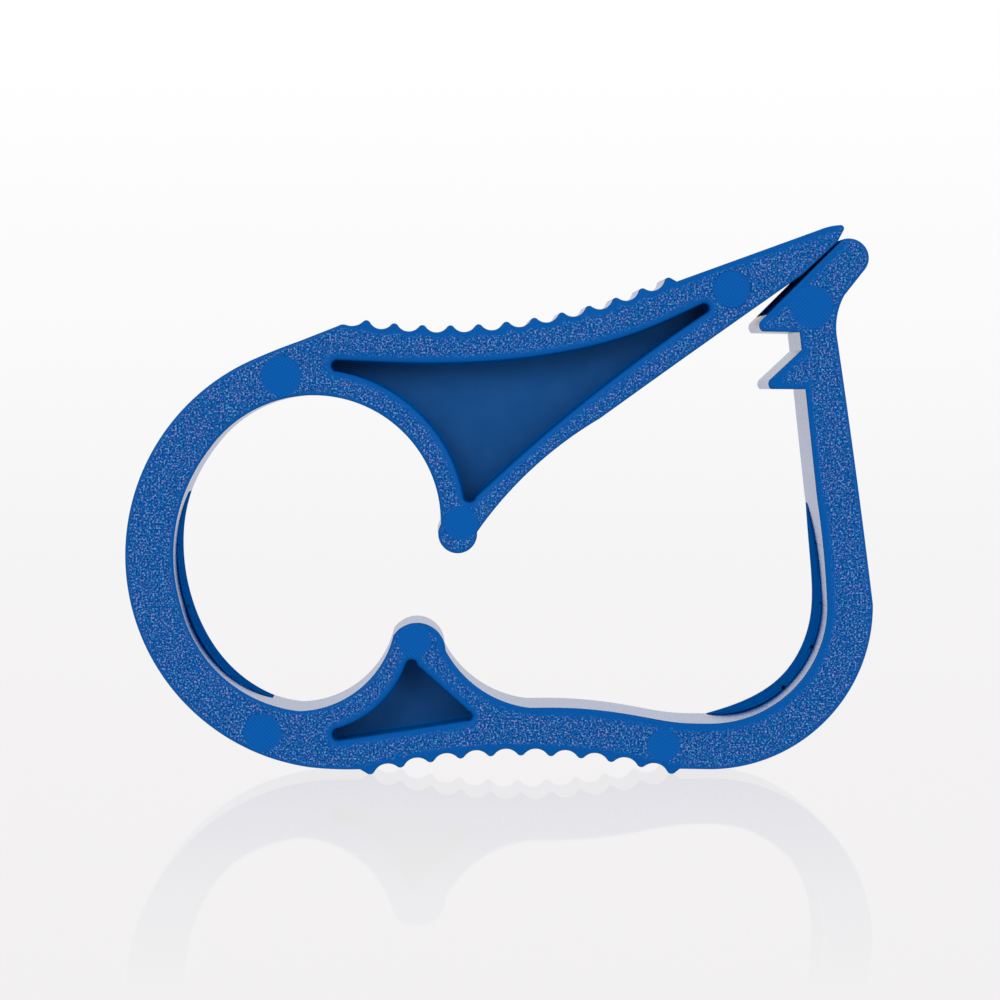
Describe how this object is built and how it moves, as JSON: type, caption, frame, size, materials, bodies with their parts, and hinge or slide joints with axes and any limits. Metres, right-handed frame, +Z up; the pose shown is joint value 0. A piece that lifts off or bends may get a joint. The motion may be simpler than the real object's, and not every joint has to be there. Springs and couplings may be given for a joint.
{
  "type": "tubing pinch clamp",
  "caption": "Side-loading ratchet clamp that pinches flexible tubing between two rounded noses; a springy bow opens it and a hooked latch post holds it closed.",
  "frame": {"origin": "centre of the bottom of the bounding box, on the surface the clamp stands on", "axes": "X along the clamp from the bow to the latch post, Y through the thickness with the front face at -Y, Z up from the finger ridges to the thumb ridges"},
  "size_m": [0.0525, 0.01, 0.0385],
  "materials": {
    "moulding": "blue polypropylene; spark-eroded grain on the side faces, smooth margins and ejector marks",
    "web": "the same blue polypropylene, smooth, reads darker at the bottom of the pockets"
  },
  "bodies": {
    "base": {"lower_arm": "moulding", "lower_web": "web", "lower_pinch_nose": "moulding", "lower_grip_ridges": "moulding", "bow_base": "moulding", "heel": "moulding"},
    "bow_1": {"bow_segment_1": "moulding"},
    "bow_2": {"bow_segment_2": "moulding"},
    "bow_3": {"bow_segment_3": "moulding"},
    "bow_4": {"bow_segment_4": "moulding"},
    "upper": {"upper_arm": "moulding", "upper_web": "web", "upper_pinch_nose": "moulding", "upper_grip_ridges": "moulding", "beak": "moulding"},
    "post_1": {"post_segment_1": "moulding"},
    "post_2": {"post_segment_2": "moulding"},
    "post_3": {"post_segment_3": "moulding"},
    "latch": {"latch_head": "moulding"}
  },
  "joints": [
    {"name": "bow_flex_1", "type": "hinge", "parent": "base", "child": "bow_1", "pos_m": [-0.02238, 0, 0.01383], "axis": [0, 1, 0], "range_deg": [0, 0.5], "stiffness_Nm_per_rad": 0.012, "springref_deg": -2.86},
    {"name": "bow_flex_2", "type": "hinge", "parent": "bow_1", "child": "bow_2", "pos_m": [-0.02234, 0, 0.01818], "axis": [0, 1, 0], "range_deg": [0, 1.6], "stiffness_Nm_per_rad": 0.012, "springref_deg": -2.86},
    {"name": "bow_flex_3", "type": "hinge", "parent": "bow_2", "child": "bow_3", "pos_m": [-0.0207, 0, 0.0223], "axis": [0, 1, 0], "range_deg": [0, 3.3], "stiffness_Nm_per_rad": 0.012, "springref_deg": -2.86},
    {"name": "arm_close", "type": "hinge", "parent": "bow_3", "child": "bow_4", "pos_m": [-0.01746, 0, 0.02542], "axis": [0, 1, 0], "range_deg": [0, 4.3], "stiffness_Nm_per_rad": 0.012, "springref_deg": -2.86},
    {"name": "bow_flex_4", "type": "hinge", "parent": "bow_4", "child": "upper", "pos_m": [-0.01317, 0, 0.02657], "axis": [0, 1, 0], "range_deg": [0, 3.2], "stiffness_Nm_per_rad": 0.012, "springref_deg": -2.86},
    {"name": "post_flex_1", "type": "hinge", "parent": "base", "child": "post_1", "pos_m": [0.02412, 0, 0.00523], "axis": [0, 1, 0], "range_deg": [0, 5.15], "stiffness_Nm_per_rad": 0.012, "springref_deg": -2.86},
    {"name": "post_flex_2", "type": "hinge", "parent": "post_1", "child": "post_2", "pos_m": [0.026, 0, 0.00978], "axis": [0, 1, 0], "range_deg": [0, 5.95], "stiffness_Nm_per_rad": 0.012, "springref_deg": -2.86},
    {"name": "latch_release", "type": "hinge", "parent": "post_2", "child": "post_3", "pos_m": [0.02595, 0, 0.01365], "axis": [0, 1, 0], "range_deg": [0, 8], "stiffness_Nm_per_rad": 0.012, "springref_deg": -2.86},
    {"name": "post_flex_3", "type": "hinge", "parent": "post_3", "child": "latch", "pos_m": [0.02534, 0, 0.0184], "axis": [0, 1, 0], "range_deg": [0, 5.65], "stiffness_Nm_per_rad": 0.012, "springref_deg": -2.86, "deforming": ["latch_head"]}
  ],
  "couplings": [
    {"joint": "bow_flex_1", "follows": "arm_close", "ratio": 0.11},
    {"joint": "bow_flex_2", "follows": "arm_close", "ratio": 0.36},
    {"joint": "bow_flex_3", "follows": "arm_close", "ratio": 0.75},
    {"joint": "bow_flex_4", "follows": "arm_close", "ratio": 0.74},
    {"joint": "post_flex_1", "follows": "arm_close", "ratio": 1.19},
    {"joint": "post_flex_2", "follows": "arm_close", "ratio": 1.38},
    {"joint": "post_flex_3", "follows": "arm_close", "ratio": 1.31}
  ]
}
